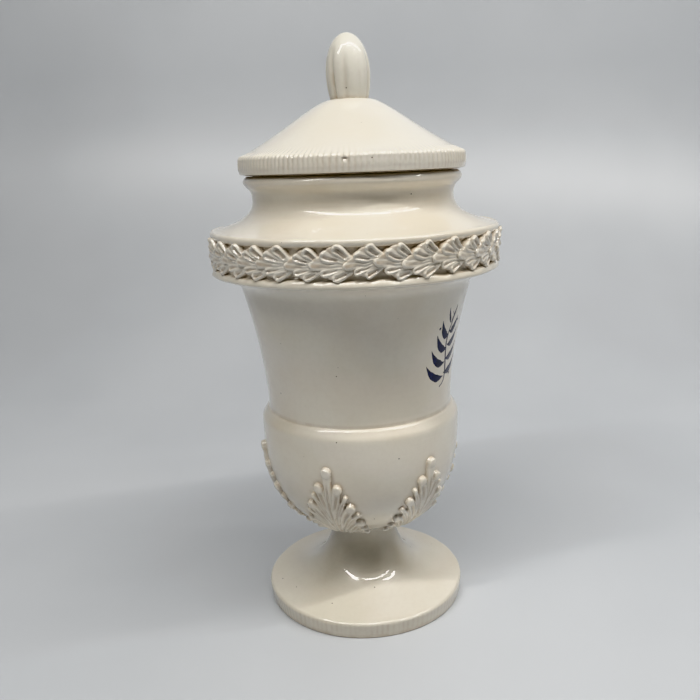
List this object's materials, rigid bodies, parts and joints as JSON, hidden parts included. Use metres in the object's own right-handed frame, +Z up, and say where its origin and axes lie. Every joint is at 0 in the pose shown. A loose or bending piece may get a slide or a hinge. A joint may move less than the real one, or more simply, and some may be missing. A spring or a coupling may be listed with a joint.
{
  "type": "apothecary jar",
  "caption": "Lidded urn-shaped apothecary jar of cream glazed earthenware on a trumpet foot, with a leaf band round the shoulder, leaves on the bowl and a lift-off lid with a bud finial.",
  "frame": {"origin": "centre of the foot's resting face, on the table", "axes": "+Z up along the jar's axis; -Y is the front seen first, with the band's leaf tips pointing to -X there"},
  "size_m": [0.1494, 0.1488, 0.3],
  "materials": {
    "foot_glaze": "clear gloss lead glaze on cream earthenware, matt bare clay on the resting ring",
    "vessel_glaze": "clear gloss lead glaze with fine pinholes and warm stain in the recesses",
    "lid_glaze": "clear gloss lead glaze, matt bare clay on the seat",
    "finial_glaze": "clear gloss lead glaze pooled ochre in the flutes",
    "garland_glaze": "clear gloss lead glaze pooled ochre between the lobes",
    "acanthus_glaze": "clear gloss lead glaze pooled ochre between the flutes"
  },
  "bodies": {
    "jar": {"foot": "foot_glaze", "vessel": "vessel_glaze", "garland_leaf_01": "garland_glaze", "garland_leaf_02": "garland_glaze", "garland_leaf_03": "garland_glaze", "garland_leaf_04": "garland_glaze", "garland_leaf_05": "garland_glaze", "garland_leaf_06": "garland_glaze", "garland_leaf_07": "garland_glaze", "garland_leaf_08": "garland_glaze", "garland_leaf_09": "garland_glaze", "garland_leaf_10": "garland_glaze", "garland_leaf_11": "garland_glaze", "garland_leaf_12": "garland_glaze", "garland_leaf_13": "garland_glaze", "garland_leaf_14": "garland_glaze", "garland_leaf_15": "garland_glaze", "garland_leaf_16": "garland_glaze", "garland_leaf_17": "garland_glaze", "garland_leaf_18": "garland_glaze", "garland_leaf_19": "garland_glaze", "garland_leaf_20": "garland_glaze", "garland_leaf_21": "garland_glaze", "garland_leaf_22": "garland_glaze", "garland_leaf_23": "garland_glaze", "garland_leaf_24": "garland_glaze", "garland_leaf_25": "garland_glaze", "garland_leaf_26": "garland_glaze", "garland_leaf_27": "garland_glaze", "garland_leaf_28": "garland_glaze", "garland_leaf_29": "garland_glaze", "garland_leaf_30": "garland_glaze", "garland_leaf_31": "garland_glaze", "garland_leaf_32": "garland_glaze", "garland_leaf_33": "garland_glaze", "garland_leaf_34": "garland_glaze", "acanthus_leaf_1": "acanthus_glaze", "acanthus_leaf_2": "acanthus_glaze", "acanthus_leaf_3": "acanthus_glaze", "acanthus_leaf_4": "acanthus_glaze", "acanthus_leaf_5": "acanthus_glaze", "acanthus_leaf_6": "acanthus_glaze"},
    "lid": {"lid": "lid_glaze", "finial": "finial_glaze"}
  },
  "joints": [
    {"name": "lid_lift", "type": "slide", "parent": "jar", "child": "lid", "axis": [0, 0, 1], "range_m": [0, 0.06]}
  ]
}
